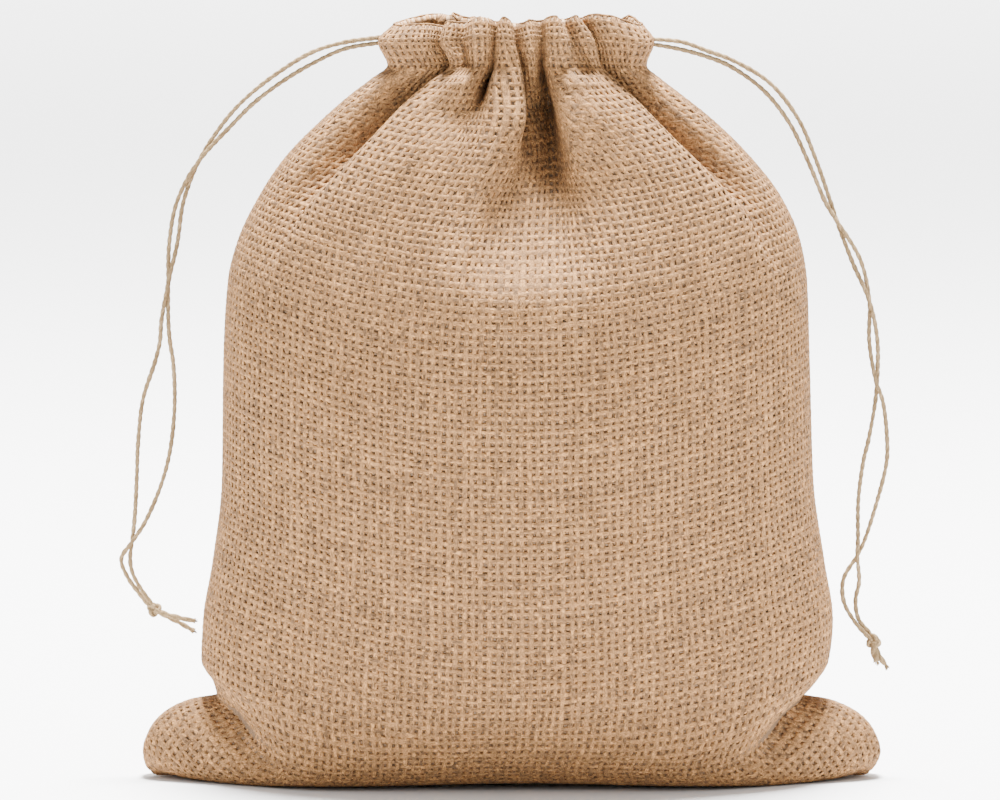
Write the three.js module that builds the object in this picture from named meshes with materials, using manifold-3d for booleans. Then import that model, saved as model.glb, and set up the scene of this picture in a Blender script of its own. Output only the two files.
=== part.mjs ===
// Drawstring pouch of woven jute: one cloth, folded at the bottom and gathered at the neck,
// and two thin drawstrings whose knotted ends hang out at the left and at the right.
// Millimetres. +Z up, front towards -Y, left towards -X.
import * as THREE from 'three';
import { mergeVertices } from 'three/addons/utils/BufferGeometryUtils.js';
import Module from 'manifold-3d';

const wasm = await Module();
wasm.setup();

// ---- driving dimensions ---------------------------------------------------------------
const CLOTH_T = 1.5;        // thickness of the woven cloth
const CASING_T = 2.2;       // thickness of the doubled cloth of the casing
const B_STITCH = 227;       // stitch line of the casing, measured up the cloth
const B_RIM = 241;          // rim of the casing, measured up the cloth
const RIM_RISE = 0.8;       // height of the rounded rim above its two edges
const CORD_D = 1.1;         // drawstring
const KNOT_W = 4.0;         // knot across
const KNOT_H = 4.6;         // knot along the cord
const B_LEVEL = 23;         // the cloth lies level on the ground up to here
const DEEPEST = 15;         // no fold goes deeper than this
const FILL_IN = 5;          // how far the doubled cloth fills the pleats inside the casing
const FILL_SHARE = 0.55;
const SEAM_SHARE = 0.1;     // part of a half panel next to a seam where the folds die out
const COLUMNS = 48;         // cloth columns on each panel
const CORD_SIDES = 8;
const CORD_STEPS = 44;      // lengths of each strand

// One row per level of the cloth, from the bottom fold up to the rim.
// b: distance up the cloth. left, right: half widths at the side seams. zs: height at the seams.
// zm: height at the middle of the panel. front, back: half depths. sq: squareness of the plan.
// flat: part of the half width that lies level. bow: how late the level climbs to the seam.
const LEVELS = [
  { b: 0,   left: 97.4,  right: 94.9, zs: 0.2,   zm: 0,     front: 0,    back: 0,    sq: 2.4,  flat: 0.8,  bow: 3 },
  { b: 4.5, left: 99.6,  right: 97.2, zs: 2.8,   zm: 0,     front: 4.5,  back: 4.5,  sq: 5,    flat: 0.8,  bow: 3 },
  { b: 9,   left: 100.4, right: 98.6, zs: 6.8,   zm: 0,     front: 9,    back: 9,    sq: 4.6,  flat: 0.8,  bow: 3 },
  { b: 15,  left: 98.6,  right: 96.7, zs: 12.4,  zm: 0,     front: 15,   back: 15,   sq: 3.8,  flat: 0.78, bow: 2.8 },
  { b: 22,  left: 94,    right: 91.8, zs: 17.4,  zm: 0,     front: 22,   back: 22,   sq: 3.1,  flat: 0.74, bow: 2.6 },
  { b: 29,  left: 87.6,  right: 84.9, zs: 20.3,  zm: 0.8,   front: 29,   back: 29,   sq: 2.8,  flat: 0.66, bow: 2.5 },
  { b: 37,  left: 80.2,  right: 77.2, zs: 21.9,  zm: 4.6,   front: 35.4, back: 35.2, sq: 2.5,  flat: 0.54, bow: 2.4 },
  { b: 44,  left: 81.4,  right: 81.2, zs: 26.4,  zm: 10.3,  front: 38.8, back: 37.4, sq: 2.3,  flat: 0.36, bow: 2.3 },
  { b: 50,  left: 84.5,  right: 84.5, zs: 31.6,  zm: 16.2,  front: 41,   back: 39.5, sq: 2.2,  flat: 0.14, bow: 2.15 },
  { b: 61,  left: 84,    right: 85.6, zs: 42.4,  zm: 26.9,  front: 43.6, back: 42,   sq: 2.15, flat: 0,    bow: 2 },
  { b: 77,  left: 81.3,  right: 83.2, zs: 58.6,  zm: 43,    front: 45.6, back: 44.4, sq: 2.1,  flat: 0,    bow: 2 },
  { b: 99,  left: 78.8,  right: 80.2, zs: 80.2,  zm: 65,    front: 47.2, back: 46.2, sq: 2.1,  flat: 0,    bow: 2 },
  { b: 131, left: 78.3,  right: 79.1, zs: 112.6, zm: 97,    front: 47.6, back: 47,   sq: 2.1,  flat: 0,    bow: 2 },
  { b: 153, left: 77,    right: 78.3, zs: 134.2, zm: 119,   front: 46.2, back: 45.8, sq: 2.1,  flat: 0,    bow: 2 },
  { b: 164, left: 74.3,  right: 76.4, zs: 145,   zm: 130.2, front: 44.2, back: 43.6, sq: 2.1,  flat: 0,    bow: 2 },
  { b: 176, left: 69,    right: 71.6, zs: 156.1, zm: 142.4, front: 41,   back: 40.4, sq: 2.1,  flat: 0,    bow: 2 },
  { b: 189, left: 62.1,  right: 63.7, zs: 166.6, zm: 155.4, front: 36.4, back: 35.8, sq: 2.1,  flat: 0,    bow: 2 },
  { b: 204, left: 51.8,  right: 53,   zs: 177.2, zm: 170.4, front: 29.8, back: 29.2, sq: 2.1,  flat: 0,    bow: 2 },
  { b: 215, left: 43.5,  right: 44,   zs: 184.4, zm: 181.4, front: 24,   back: 23.8, sq: 2.1,  flat: 0,    bow: 2 },
  { b: 222, left: 38.2,  right: 38.8, zs: 188.4, zm: 188.2, front: 20,   back: 20,   sq: 2.1,  flat: 0,    bow: 2 },
  { b: 227, left: 34,    right: 35.1, zs: 192,   zm: 193.2, front: 19.2, back: 19,   sq: 2.2,  flat: 0,    bow: 2 },
  { b: 234, left: 36.7,  right: 37.2, zs: 198.3, zm: 199.4, front: 19.6, back: 19.4, sq: 2.3,  flat: 0,    bow: 2 },
  { b: 241, left: 33,    right: 34.6, zs: 202.4, zm: 204.2, front: 17.6, back: 17.4, sq: 2.2,  flat: 0,    bow: 2 },
];

// Rows of the mesh between the levels above.
const EXTRA_ROWS = [196.5, 209.5];

// One row per pleat or fold that runs down the front from the rim. x: sideways place at the rim (x0, b 241), at
// the stitch line (x1, b 227), lower down (x2, b2) and at its end (x3, b3). w, d: half width and depth there.
const FOLDS = [
  { name: 'left crease',   x0: -21,   x1: -18.7, x2: -36,   b2: 205, x3: -60, b3: 174, w0: 2.4, w1: 3.2, w2: 5.2, w3: 9,  d0: 5.0, d1: 8.0, d2: 13.0 },
  { name: 'left tuck',     x0: -14.3, x1: -13.8, x2: -15.5, b2: 222, x3: -18, b3: 214, w0: 2.0, w1: 2.2, w2: 2.6, w3: 4,  d0: 4.5, d1: 3.5, d2: 0.6 },
  { name: 'dimple',        x0: -5.4,  x1: -6.4,  x2: -8.6,  b2: 221, x3: -15, b3: 203, w0: 1.8, w1: 2.2, w2: 3.0, w3: 6,  d0: 5.0, d1: 8.0, d2: 9.0 },
  { name: 'middle tuck',   x0: -0.3,  x1: 1.4,   x2: 1.2,   b2: 216, x3: 2,   b3: 206, w0: 1.6, w1: 1.8, w2: 2.6, w3: 4,  d0: 4.5, d1: 5.0, d2: 5.0 },
  { name: 'valley',        x0: 7.4,   x1: 9,     x2: 8.5,   b2: 208, x3: 4,   b3: 168, w0: 2.0, w1: 3.0, w2: 7.5, w3: 18, d0: 5.0, d1: 8.5, d2: 15.0 },
  { name: 'right tuck',    x0: 13.5,  x1: 20,    x2: 21,    b2: 222, x3: 22,  b3: 216, w0: 2.0, w1: 2.2, w2: 2.6, w3: 4,  d0: 3.5, d1: 2.5, d2: 0.5 },
  { name: 'right crease',  x0: 18.4,  x1: 24.6,  x2: 39.5,  b2: 205, x3: 64,  b3: 174, w0: 2.4, w1: 3.2, w2: 5.2, w3: 9,  d0: 5.0, d1: 8.0, d2: 12.5 },
];
const BACK_SHARE = 0.6;     // the back hangs in the same way, turned round and less deep

// Height of the rim above or below its level, from left to right, on the front and on the back.
const RIM = [
  { x: -40, front: -1.0, back: -1.2 },
  { x: -24, front: 0.0,  back: 0.9 },
  { x: -12, front: 0.9,  back: -0.4 },
  { x: 2,   front: -0.2, back: -3.6 },
  { x: 21,  front: 2.4,  back: -2.6 },
  { x: 36,  front: -1.0, back: -0.8 },
];

// One row per dent (d < 0) or bulge (d > 0): middle x, b, half sizes rx, rb.
const DENTS = [
  { on: 'front', x: -80, b: 37.5, rx: 15, rb: 5.0, d: -5.0 },
  { on: 'front', x: 78,  b: 37.5, rx: 14, rb: 5.0, d: -5.0 },
  { on: 'back',  x: -80, b: 37.5, rx: 15, rb: 5.0, d: -5.0 },
  { on: 'back',  x: 78,  b: 37.5, rx: 14, rb: 5.0, d: -5.0 },
  { on: 'front', x: -58, b: 38,   rx: 20, rb: 12,  d: 2.4 },
  { on: 'front', x: 56,  b: 38,   rx: 20, rb: 12,  d: 2.0 },
  { on: 'front', x: 2,   b: 38,   rx: 38, rb: 12,  d: -2.6 },
  { on: 'front', x: 3,   b: 167,  rx: 20, rb: 12,  d: 2.2 },
  { on: 'back',  x: -50, b: 40,   rx: 24, rb: 13,  d: 1.4 },
  { on: 'back',  x: 52,  b: 40,   rx: 24, rb: 13,  d: 1.4 },
];

// Each pair of strands, from the casing to the knot. x, z: middle of the pair. gap: half the distance
// between the strands. turn: degrees that the pair has turned about its own middle line.
const LEFT_PAIR = [
  { x: -37.15, z: 199.0, gap: 0.72, turn: 0 },
  { x: -45.9, z: 197.6, gap: 0.85, turn: 0 },
  { x: -53.7, z: 194.7, gap: 1.35, turn: 0 },
  { x: -62.1, z: 189.8, gap: 1.30, turn: 0 },
  { x: -70.7, z: 183.3, gap: 1.20, turn: 0 },
  { x: -76.5, z: 177.4, gap: 1.10, turn: 10 },
  { x: -84.9, z: 166.6, gap: 0.79, turn: 90 },
  { x: -89.9, z: 155.8, gap: 0.86, turn: 165 },
  { x: -91.8, z: 145.0, gap: 1.10, turn: 180 },
  { x: -93.2, z: 134.2, gap: 0.82, turn: 265 },
  { x: -94.2, z: 123.4, gap: 0.95, turn: 350 },
  { x: -94.2, z: 118.0, gap: 1.35, turn: 360 },
  { x: -94.4, z: 112.6, gap: 2.40, turn: 360 },
  { x: -95.9, z: 101.8, gap: 4.30, turn: 360 },
  { x: -97.2, z: 89.6,  gap: 4.40, turn: 360 },
  { x: -98.6, z: 80.2,  gap: 3.40, turn: 360 },
  { x: -101.2, z: 69.4, gap: 1.50, turn: 375 },
  { x: -103.3, z: 63.7, gap: 0.76, turn: 450 },
  { x: -105.0, z: 59.1, gap: 1.20, turn: 530 },
  { x: -103.9, z: 54.8, gap: 0.90, turn: 555 },
  { x: -101.2, z: 50.4, gap: 0.72, turn: 575 },
  { x: -98.85, z: 47.25, gap: 0.72, turn: 585 },
];
const RIGHT_PAIR = [
  { x: 37.55, z: 198.6, gap: 0.72, turn: 0 },
  { x: 44.6, z: 197.6, gap: 1.00, turn: 0 },
  { x: 51.3, z: 195.5, gap: 0.75, turn: 0 },
  { x: 57.8, z: 193.0, gap: 0.85, turn: 0 },
  { x: 67.5, z: 186.6, gap: 1.30, turn: 0 },
  { x: 74.8, z: 177.4, gap: 1.30, turn: 0 },
  { x: 79.8, z: 166.6, gap: 1.10, turn: 15 },
  { x: 84.0, z: 155.8, gap: 0.86, turn: 40 },
  { x: 86.5, z: 150.4, gap: 0.76, turn: 90 },
  { x: 91.8, z: 139.6, gap: 1.10, turn: 180 },
  { x: 95.3, z: 128.8, gap: 0.76, turn: 270 },
  { x: 96.4, z: 118.0, gap: 1.10, turn: 360 },
  { x: 97.3, z: 107.2, gap: 0.82, turn: 440 },
  { x: 98.0, z: 101.8, gap: 1.05, turn: 520 },
  { x: 97.7, z: 91.0,  gap: 2.55, turn: 540 },
  { x: 97.0, z: 85.6,  gap: 3.10, turn: 540 },
  { x: 95.0, z: 74.8,  gap: 2.50, turn: 540 },
  { x: 93.3, z: 64.0,  gap: 1.00, turn: 570 },
  { x: 92.3, z: 59.9,  gap: 0.77, turn: 630 },
  { x: 90.7, z: 53.2,  gap: 2.15, turn: 720 },
  { x: 90.3, z: 47.8,  gap: 1.60, turn: 720 },
  { x: 92.2, z: 42.4,  gap: 0.74, turn: 755 },
  { x: 95.4, z: 38.6,  gap: 0.72, turn: 768 },
];
// Each knot: its middle, the direction of the cord there, and the two free ends.
const KNOTS = {
  left:  { x: -97.4, z: 45.4, lean: 47, tails: [{ dx: 0.97, dz: -0.26, len: 11.6 }, { dx: 0.87, dz: -0.49, len: 12.4 }] },
  right: { x: 96.8,  z: 36.7, lean: 52, tails: [{ dx: 0.09, dz: -1.0, len: 5.6 }, { dx: 0.40, dz: -0.92, len: 7.2 }] },
};

// ---- helpers --------------------------------------------------------------------------
const clamp01 = (v) => Math.min(1, Math.max(0, v));
const smooth = (v) => { const t = clamp01(v); return t * t * (3 - 2 * t); };

// Smooth curve through a column of a table, level where the table is level.
function column(rows, at, key) {
  const xs = rows.map((r) => r[at]);
  const ys = rows.map((r) => r[key]);
  const n = xs.length;
  const slope = [];
  for (let i = 0; i < n - 1; i++) slope.push((ys[i + 1] - ys[i]) / (xs[i + 1] - xs[i]));
  const tangent = ys.map((_, i) => {
    if (i === 0) return slope[0];
    if (i === n - 1) return slope[n - 2];
    const p = slope[i - 1], q = slope[i];
    if (p * q <= 0) return 0;
    const h0 = xs[i] - xs[i - 1], h1 = xs[i + 1] - xs[i];
    return 3 * (h0 + h1) / ((2 * h1 + h0) / p + (h1 + 2 * h0) / q);
  });
  return (x) => {
    let i = 0;
    while (i < n - 2 && x > xs[i + 1]) i++;
    const h = xs[i + 1] - xs[i], t = clamp01((x - xs[i]) / h);
    const t2 = t * t, t3 = t2 * t;
    return (2 * t3 - 3 * t2 + 1) * ys[i] + (t3 - 2 * t2 + t) * h * tangent[i]
      + (3 * t2 - 2 * t3) * ys[i + 1] + (t3 - t2) * h * tangent[i + 1];
  };
}
const LEVEL_KEYS = ['left', 'right', 'zs', 'zm', 'front', 'back', 'sq', 'flat', 'bow'];
const levelCurves = Object.fromEntries(LEVEL_KEYS.map((k) => [k, column(LEVELS, 'b', k)]));
const rimCurves = { front: column(RIM, 'x', 'front'), back: column(RIM, 'x', 'back') };
const levelAt = (b) => Object.fromEntries(LEVEL_KEYS.map((k) => [k, levelCurves[k](b)]));

// A value along a fold, from its four stations.
function alongFold(f, b, key) {
  const bs = [B_RIM, B_STITCH, f.b2, f.b3];
  const vs = [0, 1, 2, 3].map((i) => f[key + i] ?? 0);
  if (b >= bs[0]) return vs[0];
  for (let i = 0; i < 3; i++) {
    if (b >= bs[i + 1]) {
      const t = (bs[i] - b) / (bs[i] - bs[i + 1]);
      return vs[i] + (vs[i + 1] - vs[i]) * (i === 2 ? smooth(t) : t);
    }
  }
  return vs[3];
}

// How far the cloth stands out (+) or is drawn in (-) at a place on a panel. fill is 0 on the outside;
// on the inside of the gathered casing the pleats are partly filled by the doubled cloth.
function relief(on, x, b, fill, seam) {
  let inward = 0;
  const way = on === 'front' ? 1 : -1;
  for (const f of FOLDS) {
    if (b < f.b3) continue;
    const q = (way * x - alongFold(f, b, 'x')) / alongFold(f, b, 'w');
    inward += (on === 'front' ? 1 : BACK_SHARE) * alongFold(f, b, 'd') * Math.exp(-q * q);
  }
  inward = seam * DEEPEST * Math.tanh(inward / DEEPEST);
  inward += fill * Math.max(0, FILL_IN - inward);
  let out = 0;
  for (const d of DENTS) {
    if (d.on === on) out += d.d * Math.exp(-(((x - d.x) / d.rx) ** 2) - (((b - d.b) / d.rb) ** 2));
  }
  return seam * out * smooth((b - B_LEVEL) / 10) - inward;
}

// A point of the cloth: t runs across a panel from the left seam (-1) to the right seam (+1).
function clothPoint(on, t, b, fill) {
  const L = levelAt(b);
  const xs = t < 0 ? L.left : L.right;
  const depth = on === 'front' ? -L.front : L.back;
  const s = Math.sin(t * Math.PI / 2), c = Math.max(0, Math.cos(t * Math.PI / 2));
  const zeta = Math.abs(s) ** (2 / L.sq);
  const x = Math.sign(s) * xs * zeta, y = depth * c ** (2 / L.sq);
  const seam = smooth((1 - Math.abs(t)) / SEAM_SHARE);
  const z = L.zm + (L.zs - L.zm) * Math.max(0, (zeta - L.flat) / (1 - L.flat)) ** L.bow
    + seam * rimCurves[on](Math.min(36, Math.max(-40, x))) * smooth((b - B_STITCH - 2) / 12);
  const nx = x / (xs * xs), ny = depth === 0 ? 0 : y / (depth * depth), nl = Math.hypot(nx, ny) || 1;
  const r = relief(on, x, b, fill, seam);
  return new THREE.Vector3(x + r * nx / nl, y + r * ny / nl, z);
}

// ---- cloth ----------------------------------------------------------------------------
function buildCloth() {
  const rows = [...LEVELS.map((r) => r.b), ...EXTRA_ROWS].sort((p, q) => p - q);
  const rowCount = rows.length, cols = COLUMNS;
  const tOf = (i) => -1 + 2 * i / cols;
  const inset = (b) => smooth((b - 204) / (B_STITCH - 204));
  const verts = [];
  const add = (v) => (verts.push(v), verts.length - 1);

  // One skin of the cloth: index grids that share the seams and the bottom fold.
  function skin(pointAt) {
    const front = [], back = [];
    for (let j = 0; j < rowCount; j++) {
      front.push([]); back.push([]);
      for (let i = 0; i <= cols; i++) {
        front[j].push(add(pointAt('front', tOf(i), rows[j])));
        const shared = j === 0 || i === 0 || i === cols;
        back[j].push(shared ? front[j][i] : add(pointAt('back', tOf(i), rows[j])));
      }
    }
    return { front, back };
  }
  const quads = (out, grid, flip) => {
    for (let j = 0; j + 1 < grid.length; j++) {
      for (let i = 0; i + 1 < grid[j].length; i++) {
        const a = grid[j][i], b = grid[j][i + 1], c = grid[j + 1][i + 1], d = grid[j + 1][i];
        if (flip) out.push(a, c, b, a, d, c); else out.push(a, b, c, a, c, d);
      }
    }
  };
  const normalsOf = (skinGrid) => {
    const faces = [];
    quads(faces, skinGrid.front, false);
    quads(faces, skinGrid.back, true);
    const g = new THREE.BufferGeometry();
    g.setAttribute('position', new THREE.Float32BufferAttribute(verts.flatMap((v) => [v.x, v.y, v.z]), 3));
    g.setIndex(faces);
    g.computeVertexNormals();
    return g.getAttribute('normal');
  };

  const outer = skin((on, t, b) => clothPoint(on, t, b, 0));
  const carrier = skin((on, t, b) => clothPoint(on, t, b, FILL_SHARE * inset(b)));
  const normal = normalsOf(carrier);
  const thick = (b) => CLOTH_T + (CASING_T - CLOTH_T) * inset(b);
  const moved = new Map();
  for (const grid of [carrier.front, carrier.back]) {
    grid.forEach((row, j) => row.forEach((k) => {
      if (moved.has(k)) return;
      const n = new THREE.Vector3(normal.getX(k), normal.getY(k), normal.getZ(k));
      moved.set(k, verts[k].clone().addScaledVector(n, -thick(rows[j])));
    }));
  }
  for (const [k, v] of moved) verts[k] = v;

  const faces = [];
  quads(faces, outer.front, false);
  quads(faces, outer.back, true);
  quads(faces, carrier.front, true);
  quads(faces, carrier.back, false);
  // the rounded rim between the two skins
  const top = rowCount - 1;
  const ring = (s) => [...s.front[top], ...s.back[top].slice(1, -1).reverse()];
  const ro = ring(outer), ri = ring(carrier);
  const crest = ro.map((k, i) => add(verts[k].clone().lerp(verts[ri[i]], 0.5).setZ(verts[k].z + RIM_RISE)));
  for (let i = 0; i < ro.length; i++) {
    const n = (i + 1) % ro.length;
    faces.push(ro[i], ro[n], crest[n], ro[i], crest[n], crest[i]);
    faces.push(crest[i], crest[n], ri[n], crest[i], ri[n], ri[i]);
  }
  const g = new THREE.BufferGeometry();
  g.setAttribute('position', new THREE.Float32BufferAttribute(verts.flatMap((v) => [v.x, v.y, v.z]), 3));
  g.setIndex(faces);
  const welded = mergeVertices(g, 1e-3);
  welded.computeVertexNormals();
  return welded;
}

// ---- cords ----------------------------------------------------------------------------
// The two centre lines of a pair of strands: hand is +1 for the first strand, -1 for the second.
function strandPoints(pair, hand, side) {
  const points = [];
  pair.forEach((p, i) => {
    const before = pair[Math.max(0, i - 1)], after = pair[Math.min(pair.length - 1, i + 1)];
    const dir = new THREE.Vector2(after.x - before.x, after.z - before.z).normalize();
    const across = new THREE.Vector2(-dir.y, dir.x).multiplyScalar(-side);   // to the outside of the pouch
    const a = p.turn * Math.PI / 180, k = hand * p.gap;
    points.push(new THREE.Vector3(p.x + across.x * k * Math.cos(a), -k * Math.sin(a), p.z + across.y * k * Math.cos(a)));
  });
  return points;
}
function tube(points, radius, steps) {
  const ring = new THREE.Shape();
  for (let i = 0; i < CORD_SIDES; i++) {
    const a = (i + 0.5) * 2 * Math.PI / CORD_SIDES;
    if (i === 0) ring.moveTo(radius * Math.cos(a), radius * Math.sin(a)); else ring.lineTo(radius * Math.cos(a), radius * Math.sin(a));
  }
  const path = new THREE.CatmullRomCurve3(points, false, 'centripetal');
  const g = new THREE.ExtrudeGeometry(ring, { steps, extrudePath: path, bevelEnabled: false });
  g.deleteAttribute('uv'); g.deleteAttribute('normal');
  const welded = mergeVertices(g, 1e-3);
  welded.computeVertexNormals();
  return welded;
}

// ---- knots ----------------------------------------------------------------------------
function solid(geometry) {
  const g = geometry.index ? geometry.toNonIndexed() : geometry.clone();
  g.deleteAttribute('normal'); g.deleteAttribute('uv');
  const m = mergeVertices(g, 1e-4);
  return new wasm.Manifold(new wasm.Mesh({
    numProp: 3,
    vertProperties: new Float32Array(m.attributes.position.array),
    triVerts: new Uint32Array(m.index.array),
  }));
}
function geometryOf(made) {
  const mesh = made.getMesh();
  const g = new THREE.BufferGeometry();
  g.setAttribute('position', new THREE.Float32BufferAttribute(mesh.vertProperties, 3));
  g.setIndex(Array.from(mesh.triVerts));
  g.computeVertexNormals();
  return g;
}
// A round lump of turned cord with the two free ends coming out below it.
function buildKnot(k) {
  const ball = new THREE.SphereGeometry(0.5, 14, 10);
  ball.rotateX(Math.PI / 2);
  ball.scale(KNOT_W, KNOT_W * 0.9, KNOT_H);
  ball.rotateY(k.lean * Math.PI / 180);
  ball.translate(k.x, 0, k.z);
  let made = solid(ball);
  k.tails.forEach((tail, i) => {
    const y = (i === 0 ? -1 : 1) * 0.7;
    const at = (share, sag) => new THREE.Vector3(k.x + tail.dx * tail.len * share, y * (1 + share), k.z + tail.dz * tail.len * share - sag);
    made = made.add(solid(tube([at(0, 0), at(0.35, 0.2), at(0.7, 0.3), at(1, 0)], CORD_D / 2, 5)));
  });
  return geometryOf(made);
}

// ---- the pouch ------------------------------------------------------------------------
const jute = new THREE.MeshStandardMaterial({ color: 0xbd9e83, roughness: 0.95, metalness: 0, side: THREE.FrontSide });
const twine = new THREE.MeshStandardMaterial({ color: 0xb99b73, roughness: 0.9, metalness: 0 });

function piece(name, geometry, material) {
  const mesh = new THREE.Mesh(geometry, material);
  mesh.name = name;
  return mesh;
}
const widest = Math.max(...LEVELS.map((r) => r.left)) - Math.max(...LEVELS.map((r) => r.right));
const deepest = Math.max(...LEVELS.map((r) => r.front)) - Math.max(...LEVELS.map((r) => r.back));

const pouch = new THREE.Group();
pouch.position.set(widest / 2, deepest / 2, 0);      // origin under the middle of the cloth
pouch.add(piece('pouch_cloth', buildCloth(), jute));
for (const [side, pair, out] of [['left', LEFT_PAIR, -1], ['right', RIGHT_PAIR, 1]]) {
  const drawstring = new THREE.Group();
  drawstring.add(piece(`strand_${side}_upper`, tube(strandPoints(pair, -1, out), CORD_D / 2, CORD_STEPS), twine));
  drawstring.add(piece(`strand_${side}_lower`, tube(strandPoints(pair, 1, out), CORD_D / 2, CORD_STEPS), twine));
  drawstring.add(piece(`knot_${side}`, buildKnot(KNOTS[side]), twine));
  pouch.add(drawstring);
}

const root = new THREE.Group();
root.add(pouch);
export default root;
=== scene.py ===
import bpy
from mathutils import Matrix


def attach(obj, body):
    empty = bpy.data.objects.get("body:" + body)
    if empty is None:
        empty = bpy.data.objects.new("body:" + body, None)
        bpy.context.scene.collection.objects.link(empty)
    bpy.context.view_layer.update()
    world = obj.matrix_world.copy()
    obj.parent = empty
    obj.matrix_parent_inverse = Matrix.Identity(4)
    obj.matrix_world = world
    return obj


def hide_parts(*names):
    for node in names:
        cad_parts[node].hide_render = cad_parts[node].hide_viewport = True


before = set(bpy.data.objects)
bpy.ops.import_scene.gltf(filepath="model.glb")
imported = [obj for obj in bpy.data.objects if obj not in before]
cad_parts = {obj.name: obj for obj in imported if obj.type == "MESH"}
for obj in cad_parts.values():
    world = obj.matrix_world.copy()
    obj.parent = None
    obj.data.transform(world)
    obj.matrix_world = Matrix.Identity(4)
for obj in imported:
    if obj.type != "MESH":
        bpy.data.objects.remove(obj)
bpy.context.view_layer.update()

import math

import bpy
import numpy as np
from mathutils import Vector

RNG = np.random.default_rng(41)
MM = 0.001

# ---- sizes, millimetres ---------------------------------------------------------------
B_STITCH, B_RIM = 227.0, 241.0      # stitch line and rim of the casing, measured up the cloth
HEM = 12.0                          # cloth turned down inside the rim
HEM_IN = 2.0                        # the turned cloth lies this far inside the outer layer
PANEL_W = 200.0                     # width of the bag laid flat
WARP_PITCH, WEFT_PITCH = 2.08, 2.01 # yarn to yarn
YARN_W, YARN_H = 0.41, 0.30         # half width of a yarn, as a share of its distance from the next, and half height
RAGGED = 0.055                      # the sides of a yarn are uneven by this
CRIMP = 0.05                        # how far a yarn rises over and dips under the others
SHEET_T = 0.36                      # the closed layer under the yarns
SHEET_IN = 0.36                     # the middle of that layer lies this far inside the middle of the yarns
SHIFT_X, SHIFT_Y = 0.9, 0.3         # middle of the cloth's box
LIFT = 0.35                         # the yarns under the bottom lie on the ground

# Levels of the cloth: b, left, right, z at the seams, z at the middle, front, back, squareness, level share, bow.
LEVELS = np.array([
    (0,   97.4,  94.9, 0.2,   0.0,   0.0,  0.0,  2.4,  0.80, 3.0),
    (4.5, 99.6,  97.2, 2.8,   0.0,   4.5,  4.5,  5.0,  0.80, 3.0),
    (9,   100.4, 98.6, 6.8,   0.0,   9.0,  9.0,  4.6,  0.80, 3.0),
    (15,  98.6,  96.7, 12.4,  0.0,   15.0, 15.0, 3.8,  0.78, 2.8),
    (22,  94.0,  91.8, 17.4,  0.0,   22.0, 22.0, 3.1,  0.74, 2.6),
    (29,  87.6,  84.9, 20.3,  0.8,   29.0, 29.0, 2.8,  0.66, 2.5),
    (37,  80.2,  77.2, 21.9,  4.6,   35.4, 35.2, 2.5,  0.54, 2.4),
    (44,  81.4,  81.2, 26.4,  10.3,  38.8, 37.4, 2.3,  0.36, 2.3),
    (50,  84.5,  84.5, 31.6,  16.2,  41.0, 39.5, 2.2,  0.14, 2.15),
    (61,  84.0,  85.6, 42.4,  26.9,  43.6, 42.0, 2.15, 0.0,  2.0),
    (77,  81.3,  83.2, 58.6,  43.0,  45.6, 44.4, 2.1,  0.0,  2.0),
    (99,  78.8,  80.2, 80.2,  65.0,  47.2, 46.2, 2.1,  0.0,  2.0),
    (131, 78.3,  79.1, 112.6, 97.0,  47.6, 47.0, 2.1,  0.0,  2.0),
    (153, 77.0,  78.3, 134.2, 119.0, 46.2, 45.8, 2.1,  0.0,  2.0),
    (164, 74.3,  76.4, 145.0, 130.2, 44.2, 43.6, 2.1,  0.0,  2.0),
    (176, 69.0,  71.6, 156.1, 142.4, 41.0, 40.4, 2.1,  0.0,  2.0),
    (189, 62.1,  63.7, 166.6, 155.4, 36.4, 35.8, 2.1,  0.0,  2.0),
    (204, 51.8,  53.0, 177.2, 170.4, 29.8, 29.2, 2.1,  0.0,  2.0),
    (215, 43.5,  44.0, 184.4, 181.4, 24.0, 23.8, 2.1,  0.0,  2.0),
    (222, 38.2,  38.8, 188.4, 188.2, 20.0, 20.0, 2.1,  0.0,  2.0),
    (227, 34.0,  35.1, 192.0, 193.2, 19.2, 19.0, 2.2,  0.0,  2.0),
    (234, 36.7,  37.2, 198.3, 199.4, 19.6, 19.4, 2.3,  0.0,  2.0),
    (241, 33.0,  34.6, 202.4, 204.2, 17.6, 17.4, 2.2,  0.0,  2.0),
])

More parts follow.
